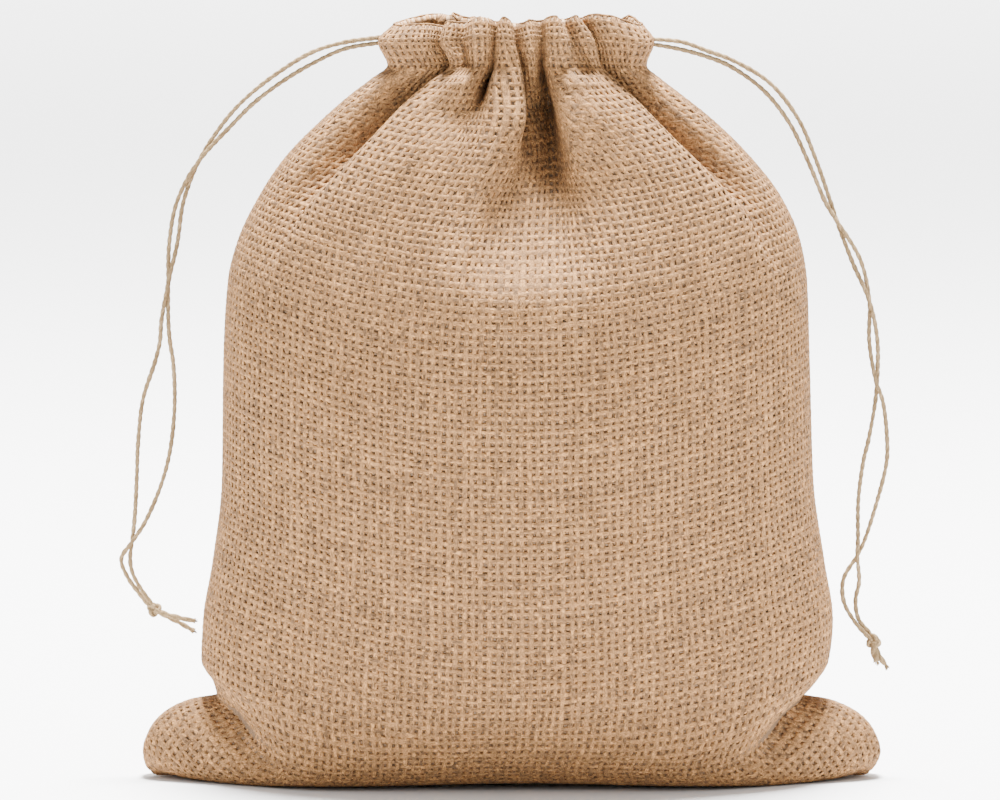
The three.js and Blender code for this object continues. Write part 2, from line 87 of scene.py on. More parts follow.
# Lines that run down the front from the rim, from left to right: crests, edges and creases of the pleats. For each
# line its place x and how far it lies inside the outline d, at the stations in STATIONS.
STATIONS = np.array([241, 234, 227, 222, 214, 203, 190, 176, 160], float)
FRONT_LINES = [
    dict(x=(-29, -31, -30, -35.2, -42.2, -50, -57.6, -64.6, -71),               d=(0, -0.5, 0.3, 0, 0, 0, 0, 0, 0)),                # outer left crest
    dict(x=(-23.5, -24, -23, -28, -35.6, -43.8, -53.2, -62, -69.2),          d=(1.5, 1.8, 3.5, 6.5, 10.5, 10.5, 6.5, 1.0, 0)),            # recess beside it
    dict(x=(-21, -22, -18.7, -22.6, -29.4, -37.4, -47.4, -58, -66),          d=(4.4, 5.2, 7.5, 13, 17.5, 17, 10.5, 1.5, 0)),           # left crease
    dict(x=(-19.5, -20, -18.2, -23.8, -31.2, -39.2, -48.6, -57.6, -65),      d=(1.5, 1.5, 3, 2.5, 2.5, 1.4, 0.2, -0.5, 0)),      # edge of the left pleat
    dict(x=(-18, -18.5, -15.5, -19, -25, -32, -40.5, -49, -55),              d=(0.5, 0, 1, -2, -1.6, -1.2, -1, -0.5, 0)),
    dict(x=(-14.3, -15.2, -13.8, -16, -20, -26, -33, -40, -44),              d=(4.0, 4.6, 3.4, -3.4, -0.6, -2.4, -1, 0, 0)),
    dict(x=(-10, -10.5, -11, -13, -15.5, -20, -24, -29, -32),                d=(0, -0.5, 1, -2.6, 1.2, -0.8, -0.2, 0, 0)),       # crest of the left pleat
    dict(x=(-7, -7.4, -8.2, -10.2, -13, -16, -19, -23, -25),                 d=(1.5, 1.5, 3, 3, 2.8, 0.8, 1.2, 0.4, 0)),
    dict(x=(-5.4, -5.8, -6.4, -8.4, -11, -13, -15, -18, -20),                d=(5.0, 5.6, 6.5, 15.5, 3.6, 1.8, 2.6, 1, 0)),               # dimple
    dict(x=(-4.2, -4.4, -5.0, -6.6, -8, -9.5, -11.5, -13.5, -15),            d=(1.5, 1.5, 2.5, 2.2, 2.5, 2.4, 4, 1.6, 0)),
    dict(x=(-2.6, -2.6, -2.2, -2.6, -3.6, -6, -10, -12, -13),                d=(0.3, 0, -0.6, -1.8, -1.2, 1.2, 4, 2.8, 0)),      # crest of the middle roll
    dict(x=(-1.2, -0.8, 1.0, 2.0, 2.6, -0.6, -6, -8, -9),                    d=(1.5, 1.5, 2, 1.6, 2, 5, 7, 4, 0)),
    dict(x=(-0.3, 0.2, 1.4, 1.4, 1.0, 3.0, -0.5, -2, -3),                    d=(5.2, 5.8, 9, 14, 17.5, 14, 9.2, 4.6, 0)),
    dict(x=(3.4, 3.8, 4.8, 5.0, 6, 7.5, 5, 4, 3),                            d=(0.8, 0.5, 3, 9.5, 20, 19, 11.2, 5.2, 0)),            # pleat in the valley
    dict(x=(7.4, 8.0, 9.0, 11.8, 14.6, 14.0, 12.2, 10.5, 9),                 d=(5.2, 6, 12, 22, 28.5, 24, 12.6, 5.6, 0)),          # bottom of the valley
    dict(x=(8.6, 9.2, 9.6, 10.2, 12.4, 15.8, 18.5, 18.5, 18),                d=(1.5, 1.2, 2, 2.4, 2.4, 3.6, 6.4, 4.0, 0)),
    dict(x=(11.0, 11.8, 14.5, 16.5, 19.5, 22.5, 25, 25, 25),                 d=(-0.3, -0.5, 0.8, -3.6, -2.8, 0.2, 3, 1.6, 0)),   # crest of the right pleat
    dict(x=(13.5, 16.5, 20.0, 21, 25, 30, 35, 39, 41),                       d=(3.6, 3.8, 3, -3, -3, -1.6, 0, 0.3, 0)),
    dict(x=(16, 19, 22, 24, 29, 36, 43.5, 51, 54),                           d=(0.8, 0.8, 1.5, -1.2, -1.8, -1.8, -1, -0.2, 0)),
    dict(x=(17.5, 21.2, 24.2, 28.4, 34.6, 42.6, 52.2, 61.6, 68),             d=(1.5, 1.5, 3, 2.5, 2.5, 1.4, 0.2, -0.5, 0)),      # edge of the right pleat
    dict(x=(18.4, 22.4, 24.6, 27.2, 32.9, 40.7, 50.9, 62, 69.2),             d=(4.8, 5.6, 7.5, 13, 17, 16.5, 11, 2.0, 0)),         # right crease
    dict(x=(20.5, 25, 28.5, 31.8, 38.0, 46.2, 56.2, 65.6, 72),               d=(1.5, 2, 3, 6, 9.5, 10, 6.5, 1.4, 0)),           # recess beside it
    dict(x=(28, 31, 32, 37.2, 43.4, 51.4, 60, 68, 74),                         d=(-0.3, -0.6, 0.3, 0, 0, 0, 0, 0, 0)),             # outer right crest
]
# The back hangs in the same way, turned round and less deep.
BACK_LINES = [dict(x=tuple(-v for v in f["x"]), d=tuple(0.6 * v for v in f["d"])) for f in FRONT_LINES[::-1]]
SCALLOP = 0.30                       # the rim dips by this share of the depth of a crease
ARCH = 1.3                           # the front edge of the bottom is lifted in the middle
PINCH = 0.35                          # the stitch line draws the cloth in
# Height of the rim above or below its level: x, front, back.
RIM = np.array([(-40, -1.0, -1.2), (-32, -0.4, 0.0), (-24, 0.0, 0.9), (-18, 0.2, 1.2), (-12, 0.9, -0.4), (-3, 0.9, -3.2), (2, -0.2, -3.6), (8, 1.3, -3.6),
                (13, 1.2, -3.4), (21, 2.4, -2.6), (26, 1.8, -1.6), (31, 0.4, 1.5), (36, -1.0, 0.4)])
# Dents and bulges: x, b, half sizes, height.
FRONT_DENTS = [(-80, 37.5, 15, 5.0, -5.0), (78, 37.5, 14, 5.0, -5.0), (-58, 38, 20, 12, 2.4), (56, 38, 20, 12, 2.0), (2, 38, 38, 12, -2.6),
               (3, 167, 20, 9, 3.6)]
BACK_DENTS = [(-80, 37.5, 15, 5.0, -5.0), (78, 37.5, 14, 5.0, -5.0), (-50, 40, 24, 13, 1.4), (52, 40, 24, 13, 1.4)]


def smooth(v):
    v = np.clip(v, 0.0, 1.0)
    return v * v * (3 - 2 * v)


def level_curves(table, at):
    """Each column of the table at the places in at, level where the table is level."""
    xs, ys = table[:, 0], table[:, 1:]
    h = np.diff(xs)[:, None]
    slope = np.diff(ys, axis=0) / h
    tan = np.zeros_like(ys)
    tan[0], tan[-1] = slope[0], slope[-1]
    p, q, h0, h1 = slope[:-1], slope[1:], h[:-1], h[1:]
    with np.errstate(divide="ignore", invalid="ignore"):
        mean = 3 * (h0 + h1) / ((2 * h1 + h0) / p + (h1 + 2 * h0) / q)
    tan[1:-1] = np.where(p * q > 0, mean, 0.0)
    i = np.clip(np.searchsorted(xs, at, side="right") - 1, 0, len(xs) - 2)
    hh = h[i]
    t = np.clip((at[:, None] - xs[i][:, None]) / hh, 0, 1)
    t2, t3 = t * t, t * t * t
    return (2 * t3 - 3 * t2 + 1) * ys[i] + (t3 - 2 * t2 + t) * hh * tan[i] + (3 * t2 - 2 * t3) * ys[i + 1] + (t3 - t2) * hh * tan[i + 1]


def panel_rows(front, bs, fine=44):
    """Rows of a panel from the left seam to the right one: for each b many points across, lying in the pleats."""
    L = level_curves(LEVELS, bs)
    left, right, zs, zm, fr, bk, sq, flat, bow = (v[:, None] for v in L.T)
    lines = FRONT_LINES if front else BACK_LINES
    table = np.array([[v for f in lines for v in (f["x"][k], f["d"][k])] for k in range(len(STATIONS))])
    at = np.maximum(bs, STATIONS[-1])
    got = level_curves(np.column_stack([STATIONS, table])[::-1], at)
    low = level_curves(LEVELS, at)
    X, D = got[:, 0::2], got[:, 1::2]
    X = np.where(X < 0, X * left / low[:, :1], X * right / low[:, 1:2])
    X, D = np.column_stack([-left, X, right]), np.column_stack([0 * left, D, 0 * right])
    # a smooth line through the points of each row
    s = np.cumsum(np.column_stack([0 * left, (np.diff(X, axis=1) ** 2 + np.diff(D, axis=1) ** 2) ** 0.25]), axis=1)
    xs, ds = [], []
    n = X.shape[1]

    def tangent(V, i):
        if i == 0:
            return (V[:, 1] - V[:, 0]) / (s[:, 1] - s[:, 0])
        if i == n - 1:
            return (V[:, -1] - V[:, -2]) / (s[:, -1] - s[:, -2])
        h0, h1 = s[:, i] - s[:, i - 1], s[:, i + 1] - s[:, i]
        return ((V[:, i] - V[:, i - 1]) / h0 * h1 + (V[:, i + 1] - V[:, i]) / h1 * h0) / (h0 + h1)

    for i in range(n - 1):
        u = np.linspace(0, 1, fine, endpoint=i == n - 2)[None]
        h = (s[:, i + 1] - s[:, i])[:, None]
        for V, res in ((X, xs), (D, ds)):
            p0, p1, t0, t1 = V[:, i][:, None], V[:, i + 1][:, None], tangent(V, i)[:, None], tangent(V, i + 1)[:, None]
            res.append((2 * u**3 - 3 * u**2 + 1) * p0 + (u**3 - 2 * u**2 + u) * h * t0 + (3 * u**2 - 2 * u**3) * p1 + (u**3 - u**2) * h * t1)
    x, inward = np.concatenate(xs, 1), np.concatenate(ds, 1)
    b = np.broadcast_to(bs[:, None], x.shape)
    half = np.where(x < 0, left, right)
    zeta = np.clip(np.abs(x) / half, 0, 1)
    depth = -fr if front else bk
    y = depth * np.maximum(0, 1 - zeta ** sq) ** (1 / sq)
    z = zm + (zs - zm) * np.maximum(0, (zeta - flat) / (1 - flat)) ** bow
    nx, ny = x / half ** 2, y / np.where(depth == 0, 1, depth) ** 2
    nl = np.hypot(nx, ny)
    nl[nl == 0] = 1
    seam = smooth((1 - zeta) / 0.06)
    out = np.zeros_like(x)
    for dx, db, rx, rb, d in FRONT_DENTS if front else BACK_DENTS:
        out += d * np.exp(-((x - dx) / rx) ** 2 - ((b - db) / rb) ** 2)
    rim = np.interp(x, RIM[:, 0], RIM[:, 1 if front else 2]) - SCALLOP * np.maximum(0, inward)
    z = z + seam * rim * smooth((b - B_STITCH - 2) / 12)
    if front:
        z = z + ARCH * np.exp(-((x - 2) / 36) ** 2) * smooth((b - 4) / 18) * (1 - smooth((b - 34) / 30))
    pinch = PINCH * np.exp(-((b - B_STITCH) / 1.3) ** 2)
    r = seam * (out * smooth((b - 23) / 10) - pinch) - inward
    return np.stack([x + r * nx / nl, y + r * ny / nl, z], 2), inward


# ---- the cloth as an even grid --------------------------------------------------------
NU, NV = 300, 242                    # steps across a panel, steps up the cloth to the rim


def even(points, n):
    """A line of points resampled to n + 1 points at even distances."""
    d = np.r_[0, np.cumsum(np.linalg.norm(np.diff(points, axis=0), axis=1))]
    at = np.linspace(0, d[-1], n + 1)
    return np.stack([np.interp(at, d, points[:, k]) for k in range(3)], 1)


TUCK = 1.2                           # the gathered cloth is packed closer by this share between the pleats
EASE = 13.0                          # mm of cloth over which the warps take up a change of the folds


def panel(front):
    bs = np.linspace(0, B_RIM, NV + 1)
    rows, inward = panel_rows(front, bs)
    tucked = 1 + TUCK * smooth((inward[:, 1:] + inward[:, :-1]) / 2 / 4) * smooth((bs - 205) / 15)[:, None]
    share = np.concatenate([np.zeros((NV + 1, 1)), np.cumsum(np.linalg.norm(np.diff(rows, axis=1), axis=2) * tucked, axis=1)], 1)
    share /= share[:, -1:]
    reach = np.exp(-0.5 * ((bs[:, None] - bs[None]) / EASE) ** 2)
    eased = (reach / reach.sum(1, keepdims=True)) @ share
    w = smooth((bs - 100) / 40)[:, None]
    share = share * (1 - w) + eased * w
    at = np.linspace(0, 1, NU + 1)
    return np.stack([np.stack([np.interp(at, sh, row[:, k]) for k in range(3)], 1) for sh, row in zip(share, rows)])


front, back = panel(True), panel(False)
# ring of columns: the front from the left seam to the right one, then the back from right to left
RING = np.concatenate([front, back[:, -2:0:-1]], axis=1)          # NV + 1 rows, 2 NU columns
NRING = RING.shape[1]


def grid_normals(G):
    du = np.roll(G, -1, 1) - np.roll(G, 1, 1)
    dv = np.empty_like(G)
    dv[1:-1] = G[2:] - G[:-2]
    dv[0] = G[1] - G[0]
    dv[-1] = G[-1] - G[-2]
    n = np.cross(du, dv)
    ln = np.linalg.norm(n, axis=2, keepdims=True)
    return n / np.where(ln == 0, 1, ln)


# the casing's cloth goes over the rim and down inside
n_out = grid_normals(RING)
n_out[0] = (0, 0, -1)
hem_rows = int(round(HEM))
rows = [RING]
for k in range(1, hem_rows + 3):
    down = k - 1.6
    if down <= 0:
        a = math.pi * (k / 2.6)
        base, nn = RING[-1], n_out[-1]
        flat_n = nn * (1, 1, 0)
        flat_n /= np.linalg.norm(flat_n, axis=1, keepdims=True)
        rows.append((base - flat_n * HEM_IN * 0.5 * (1 - math.cos(a)) + np.array((0, 0, 1)) * HEM_IN * 0.45 * math.sin(a))[None])
    else:
        j = NV - down
        j0 = int(math.floor(j))
        base = RING[j0] + (RING[min(NV, j0 + 1)] - RING[j0]) * (j - j0)
        nn = n_out[j0] * (1, 1, 0.2)
        nn /= np.linalg.norm(nn, axis=1, keepdims=True)
        rows.append((base - nn * HEM_IN)[None])
RING = np.concatenate(rows, 0)
RING = RING + np.array((SHIFT_X, SHIFT_Y, LIFT))
NORMAL = grid_normals(RING)
NORMAL[0] = (0, 0, -1)
ROWS = RING.shape[0]                                              # about 1 mm of cloth apart


def at_cloth(u, v):
    """Surface points and normals at ring places u (0..NRING) and row places v."""
    u0 = np.floor(u).astype(int)
    fu = (u - u0)[:, None]
    v = np.clip(v, 0, ROWS - 1.0001)
    v0 = np.floor(v).astype(int)
    fv = (v - v0)[:, None]
    a, b = u0 % NRING, (u0 + 1) % NRING
    res = []
    for G in (RING, NORMAL):
        res.append((G[v0, a] * (1 - fu) + G[v0, b] * fu) * (1 - fv) + (G[v0 + 1, a] * (1 - fu) + G[v0 + 1, b] * fu) * fv)
    n = res[1] / np.linalg.norm(res[1], axis=1, keepdims=True)
    return res[0], n


# ---- meshes ---------------------------------------------------------------------------
def mesh_object(name, verts, quads, tones=None, materials=(), uv=None):
    me = bpy.data.meshes.new(name)
    v = np.asarray(verts, np.float32).reshape(-1, 3) * MM
    q = np.asarray(quads, np.int32).reshape(-1, 4)
    me.vertices.add(len(v))
    me.vertices.foreach_set("co", v.ravel())
    me.loops.add(q.size)
    me.loops.foreach_set("vertex_index", q.ravel())
    me.polygons.add(len(q))
    me.polygons.foreach_set("loop_start", np.arange(len(q), dtype=np.int32) * 4)
    for m in materials:
        me.materials.append(m)
    if tones is not None:
        me.polygons.foreach_set("material_index", np.asarray(tones, np.int32))
    me.update(calc_edges=True)
    me.polygons.foreach_set("use_smooth", np.ones(len(me.polygons), bool))
    if uv is not None:
        me.uv_layers.new(name="OFBake").data.foreach_set("uv", np.asarray(uv, np.float32).ravel())
    me.update()
    o = bpy.data.objects.new(name, me)
    bpy.context.scene.collection.objects.link(o)
    return o


def material(name, rgb, rough=0.95):
    m = bpy.data.materials.new(name)
    m.use_nodes = True
    p = m.node_tree.nodes["Principled BSDF"]
    p.inputs["Base Color"].default_value = (*rgb, 1)
    p.inputs["Roughness"].default_value = rough
    p.inputs["Specular IOR Level"].default_value = 0.15
    return m


def fibre_material(name, rgb, grain, contrast, bump):
    """Jute of one tone: fibres and flecks from noise. grain: how many in a metre along x, y and z. contrast: how far they
    differ from the tone. bump: how high they stand, in mm."""
    m = material(name, rgb)
    nodes, link = m.node_tree.nodes, m.node_tree.links.new
    p = nodes["Principled BSDF"]
    place, grid = nodes.new("ShaderNodeTexCoord"), nodes.new("ShaderNodeMapping")
    grid.inputs["Scale"].default_value = grain
    link(place.outputs["Object"], grid.inputs["Vector"])
    fibre = nodes.new("ShaderNodeTexNoise")
    fibre.inputs["Scale"].default_value = 1.0
    fibre.inputs["Detail"].default_value = 2.0
    fibre.inputs["Roughness"].default_value = 0.6
    link(grid.outputs["Vector"], fibre.inputs["Vector"])
    fleck = nodes.new("ShaderNodeTexNoise")                       # patches some yarns wide
    fleck.inputs["Scale"].default_value = 130.0
    fleck.inputs["Detail"].default_value = 3.0
    link(place.outputs["Object"], fleck.inputs["Vector"])
    both = nodes.new("ShaderNodeMath")
    both.operation = "MULTIPLY_ADD"
    both.inputs[1].default_value = 0.12
    link(fleck.outputs["Fac"], both.inputs[0])
    link(fibre.outputs["Fac"], both.inputs[2])
    tone = nodes.new("ShaderNodeMapRange")
    tone.inputs["From Min"].default_value, tone.inputs["From Max"].default_value = 0.34, 0.78
    link(both.outputs["Value"], tone.inputs["Value"])
    mix = nodes.new("ShaderNodeMix")
    mix.data_type = "RGBA"
    dark, pale = (1 - contrast, 1 - 1.05 * contrast, 1 - 1.1 * contrast), (1 + contrast, 1 + 1.02 * contrast, 1 + 1.0 * contrast)
    mix.inputs["A"].default_value = (*(c * k for c, k in zip(rgb, dark)), 1)
    mix.inputs["B"].default_value = (*(c * k for c, k in zip(rgb, pale)), 1)
    link(tone.outputs["Result"], mix.inputs["Factor"])
    link(mix.outputs["Result"], p.inputs["Base Color"])
    dull = nodes.new("ShaderNodeMapRange")
    dull.inputs["To Min"].default_value, dull.inputs["To Max"].default_value = 1.0, 0.8
    link(fibre.outputs["Fac"], dull.inputs["Value"])
    link(dull.outputs["Result"], p.inputs["Roughness"])
    rise = nodes.new("ShaderNodeBump")
    rise.inputs["Strength"].default_value = 0.6
    rise.inputs["Distance"].default_value = bump * MM
    link(fibre.outputs["Fac"], rise.inputs["Height"])
    link(rise.outputs["Normal"], p.inputs["Normal"])
    return m


YARN_TONES = [(0.138, 0.078, 0.040), (0.215, 0.117, 0.055), (0.276, 0.147, 0.064), (0.336, 0.176, 0.075), (0.441, 0.227, 0.091)]     # dark to pale
PALER = (0.86, 0.86, 0.84)
yarn_mats = {way: [fibre_material(f"jute_{way}_{i}", tuple(k * v for k, v in zip(PALER, c)), grain, 0.62, 0.16) for i, c in enumerate(YARN_TONES)]
             for way, grain in (("warp", (3300, 3300, 1300)), ("weft", (1300, 1300, 3300)))}
# the layer seen through the holes: dark brown, painted shade of the inside of the bag, with some of the fuzz's own
# colour
hole_shade_mat = fibre_material("jute_ground_painted_shade", (0.156, 0.099, 0.059), (2600, 2600, 2600), 0.35, 0.12)
# the same layer in the rows at the rim, painted paler: painted light where the top of the rim is lit, in place of the
# painted shade below
rim_lit_mat = fibre_material("jute_rim_painted_light", (0.43, 0.285, 0.175), (2600, 2600, 2600), 0.4, 0.12)
twine_mats = [fibre_material(f"jute_twine_{i}", c, (3800, 3800, 1400), 0.35, 0.12)
              for i, c in enumerate([(0.245, 0.166, 0.086), (0.29, 0.200, 0.108), (0.205, 0.135, 0.068)])]

# closed layer under the yarns; its dark brown is painted shade of the bag's inside seen through the holes, partly also
# the own colour of fibre fuzz across them
step_u = 3
vr = list(range(0, 200, 4)) + list(range(200, NV - 4, 2)) + list(range(NV - 4, NV + 6)) + list(range(NV + 6, ROWS - 1, 2)) + [ROWS - 1]
G, Nn = RING[vr][:, ::step_u], NORMAL[vr][:, ::step_u]
nr, nc = G.shape[:2]
near_rim = np.exp(-((np.array(vr) - NV - 1.0) / 2.0) ** 2)[:, None, None]
sunk = SHEET_IN - 0.28 * near_rim                                 # at the rim the layer comes up between the yarns
outer, inner = G - Nn * (sunk - SHEET_T / 2), G - Nn * (sunk + SHEET_T / 2)
idx = np.arange(nr * nc).reshape(nr, nc)
idx[0, nc // 2 + 1:] = idx[0, 1:nc // 2][::-1]                    # front and back share the bottom fold
a, b = idx[:-1], np.roll(idx, -1, 1)[:-1]
d, c = idx[1:], np.roll(idx, -1, 1)[1:]
out_q = np.stack([a, b, c, d], -1).reshape(-1, 4)
in_q = np.stack([a, d, c, b], -1).reshape(-1, 4) + nr * nc
top = idx[-1]
rim_q = np.stack([top, np.roll(top, -1), np.roll(top, -1) + nr * nc, top + nr * nc], -1)
rr, cc = np.meshgrid(np.arange(nr - 1) / nr * 0.97, np.arange(nc) * 0.49 / nc, indexing="ij")
du, dv = 0.49 / nc, 0.97 / nr
face_uv = np.stack([np.stack([cc + i * du, rr + j * dv], -1) for i, j in ((0, 0), (1, 0), (1, 1), (0, 1))], 2).reshape(-1, 4, 2)
rim_u = np.arange(nc) / nc
rim_uv = np.stack([np.stack([rim_u + i / nc, np.full(nc, j)], -1) for i, j in ((0, 0.98), (1, 0.98), (1, 1.0), (0, 1.0))], 1)
# rows at the rim take the paler colour, painted light on the lit top of the rim
lit_rim_rows = np.repeat((near_rim[:-1, 0, 0] + near_rim[1:, 0, 0] > 0.5).astype(int), nc)
sheet = mesh_object("cloth_ground", np.concatenate([outer.reshape(-1, 3), inner.reshape(-1, 3)]), np.concatenate([out_q, in_q, rim_q]), np.concatenate([lit_rim_rows, lit_rim_rows, np.zeros(nc, int)]), [hole_shade_mat, rim_lit_mat],
                    uv=np.concatenate([face_uv, face_uv[:, (0, 3, 2, 1)] + (0.5, 0), rim_uv]))


def wander(n_lines, n_along, every, size):
    """Smooth random numbers along each line."""
    k = max(4, int(n_along / every) + 3)
    raw = RNG.normal(0, size, (n_lines, k))
    at = np.linspace(0, k - 1.001, n_along)
    i = at.astype(int)
    f = smooth(at - i)
    return raw[:, i] * (1 - f) + raw[:, i + 1] * f


def ring_wander(lines, places, every, size):
    w = wander(lines, places, every, size)
    blend = smooth((np.linspace(0, 1, places) - 0.94) / 0.06)
    return w * (1 - blend) + w[:, :1] * blend


PATCHES = [(RNG.integers(2, 9), RNG.uniform(0.02, 0.09), RNG.uniform(0, 6.28), RNG.uniform(0, 6.28)) for _ in range(10)]


def closeness(U, V, P):
    """How full the weave is, from place to place: yarns are a little thicker where this is over 1."""
    f = sum(np.cos(k * U * 2 * math.pi / NRING + p1) * np.cos(g * V + p2) for k, g, p1, p2 in PATCHES) / math.sqrt(len(PATCHES))
    front_of = P[..., 1] < 0
    pulled = np.exp(-((P[..., 0] - 3) / 15) ** 2 - ((P[..., 2] - 138) / 9) ** 2) * front_of
    return 1 + 0.03 * f + 0.32 * pulled + 0.25 * np.exp(-((V - NV - 3) / 2.4) ** 2)


ROUND = ((-1, -0.45), (-0.46, 0.76), (0.46, 0.76), (1, -0.45))     # section of a yarn: share of half width, of half height
FACES = len(ROUND)


def yarns(name, centre, across, normal, half_w, half_h, closed, tone, pieces, materials):
    """Yarns rounded above and flat below: centre, across and normal are (lines, places, 3), tone is (lines, places, FACES)."""
    made = []
    cut = np.linspace(0, len(centre), pieces + 1).astype(int)
    for k in range(pieces):
        c, x, n = (v[cut[k]:cut[k + 1]] for v in (centre, across, normal))
        w, h, tn = half_w[cut[k]:cut[k + 1], :, None], half_h[cut[k]:cut[k + 1], :, None], tone[cut[k]:cut[k + 1]]
        L, m = c.shape[:2]
        ring = np.stack([c + x * (w * p + RNG.normal(0, RAGGED, w.shape)) + n * h * q for p, q in ROUND], 2)
        base = np.arange(L * m * FACES).reshape(L, m, FACES)
        lo, hi = (base, np.roll(base, -1, 1)) if closed else (base[:, :-1], base[:, 1:])
        tn = tn[:, :lo.shape[1]].reshape(-1)
        q = np.stack([lo, hi, np.roll(hi, -1, 2), np.roll(lo, -1, 2)], -1).reshape(-1, 4)
        ll, pp, ff = np.meshgrid(np.arange(L), np.arange(lo.shape[1]), np.arange(FACES), indexing="ij")
        wide, long = 1 / (L * FACES), 1 / (lo.shape[1] + 2)       # one cell of the map for each face
        cell = np.stack([(ll * FACES + ff) * wide, (pp + 1) * long], -1).reshape(-1, 1, 2)
        uv = cell + np.array([(0, 0), (0, long), (wide, long), (wide, 0)])
        if not closed:                # a face closes each end
            q = np.concatenate([q, base[:, 0], base[:, -1, ::-1]])
            tn = np.concatenate([tn, np.full(2 * L, 2)])
            foot = np.stack([np.arange(L) / L, np.zeros(L)], -1)[:, None]
            end = np.array([(0, 0), (0, long), (1 / L, long), (1 / L, 0)])
            uv = np.concatenate([uv, foot + end, foot + (0, 1 - long) + end])
        made.append(mesh_object(f"{name}_{k}", ring.reshape(-1, 3), q, tn, materials, uv))
    return made


def tone_of(lines, places):
    """A tone for each face: fibres of different tones lie side by side, and some yarns are a little darker or paler."""
    f = RNG.normal(0, 0.85, (lines, places, FACES)) + RNG.normal(0, 0.16, (lines, 1, 1)) + wander(lines, places, 9, 0.22)[..., None]
    return np.digitize(f, (-1.25, -0.45, 0.45, 1.25))


n_warp = 4 * int(round(PANEL_W / WARP_PITCH / 2))          # an even number on each panel
n_weft = int(round((ROWS - 1) / WEFT_PITCH))
warp_u = (np.arange(n_warp) + 0.5) * NRING / n_warp
weft_v = (np.arange(n_weft) + 0.5) * (ROWS - 1) / n_weft

# warps: two places for each weft
m = 2 * n_weft
vv = np.arange(m + 1) * (ROWS - 1) / m
kk, jj = np.meshgrid(np.arange(n_warp), np.arange(m + 1), indexing="ij")
phase = np.where(jj % 2 == 1, np.where(((jj - 1) // 2 + kk) % 2 == 0, 1.0, -1.0), 0.0)
du = wander(n_warp, m + 1, 9, 0.05) * NRING / n_warp + RNG.normal(0, 0.035, (n_warp, 1)) * NRING / n_warp
U = warp_u[:, None] + du
V = np.broadcast_to(vv, U.shape) + wander(n_warp, m + 1, 2, 0.06)
P, N = at_cloth(U.ravel(), V.ravel())
P, N = P.reshape(U.shape + (3,)), N.reshape(U.shape + (3,))
T = np.gradient(P, axis=1)
A = np.cross(T, N)
A /= np.linalg.norm(A, axis=2, keepdims=True)
thick = (1 + RNG.normal(0, 0.025, (n_warp, 1)) + wander(n_warp, m + 1, 12, 0.045) + wander(n_warp, m + 1, 1.5, 0.06)) * closeness(U, V, P)
rise = CRIMP * (1 + wander(n_warp, m + 1, 3, 0.12))
C = P + N * (phase * rise)[..., None]
near = np.linalg.norm(np.roll(P, -1, 0) - np.roll(P, 1, 0), axis=2) / 2
hw, hh = np.clip(YARN_W * near, 0.3, 1.3) * thick, YARN_H * np.minimum(thick, 1.15)
warps = yarns("warp", C, A, N, hw, hh, False, tone_of(n_warp, m + 1), 3, yarn_mats["warp"])

# wefts: closed rings, two places for each warp
m = 2 * n_warp
uu = np.arange(m) * NRING / m
jj, kk = np.meshgrid(np.arange(n_weft), np.arange(m), indexing="ij")
phase = np.where(kk % 2 == 1, np.where(((kk - 1) // 2 + jj) % 2 == 0, -1.0, 1.0), 0.0)
dv = ring_wander(n_weft, m, 9, 0.05) * (ROWS - 1) / n_weft + RNG.normal(0, 0.035, (n_weft, 1)) * (ROWS - 1) / n_weft
V = np.clip(weft_v[:, None] + dv, 0.25, ROWS - 1.2)
U = np.broadcast_to(uu, V.shape) + 0.0
P, N = at_cloth(U.ravel(), V.ravel())
P, N = P.reshape(U.shape + (3,)), N.reshape(U.shape + (3,))
T = np.roll(P, -1, 1) - np.roll(P, 1, 1)
A = np.cross(T, N)
A /= np.maximum(np.linalg.norm(A, axis=2, keepdims=True), 1e-9)
thick = (1 + RNG.normal(0, 0.025, (n_weft, 1)) + ring_wander(n_weft, m, 12, 0.045) + ring_wander(n_weft, m, 1.5, 0.06)) * closeness(U, V, P)
rise = CRIMP * (1 + ring_wander(n_weft, m, 3, 0.12))
C = P + N * (phase * rise)[..., None]
near = np.linalg.norm(np.gradient(P, axis=0), axis=2)
hw, hh = np.clip((YARN_W - 0.075 * smooth((V - 150) / 45)) * near, 0.3, 1.3) * thick, YARN_H * np.minimum(thick, 1.15)
wefts = yarns("weft", C, A, N, hw, hh, True, tone_of(n_weft, m), 3, yarn_mats["weft"])

for o in [sheet] + warps + wefts:
    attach(o, "root")
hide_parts("pouch_cloth")

# ---- drawstrings ----------------------------------------------------------------------
# Each pair of strands, from the casing to the knot: x, z, half the distance between the strands, and the
# degrees that the pair has turned about its own middle line.
LEFT_PAIR = [
    (-37.15, 199.0, 0.72, 0), (-45.9, 197.6, 0.85, 0), (-53.7, 194.7, 1.35, 0), (-62.1, 189.8, 1.30, 0), (-70.7, 183.3, 1.20, 0),
    (-76.5, 177.4, 1.10, 10), (-84.9, 166.6, 0.79, 90), (-89.9, 155.8, 0.86, 165), (-91.8, 145.0, 1.10, 180), (-93.2, 134.2, 0.82, 265),
    (-94.2, 123.4, 0.95, 350), (-94.2, 118.0, 1.35, 360), (-94.4, 112.6, 2.40, 360), (-95.9, 101.8, 4.30, 360), (-97.2, 89.6, 4.40, 360),
    (-98.6, 80.2, 3.40, 360), (-101.2, 69.4, 1.50, 375), (-103.3, 63.7, 0.76, 450), (-105.0, 59.1, 1.20, 530), (-103.9, 54.8, 0.90, 555),
    (-101.2, 50.4, 0.72, 575), (-98.85, 47.25, 0.72, 585)]
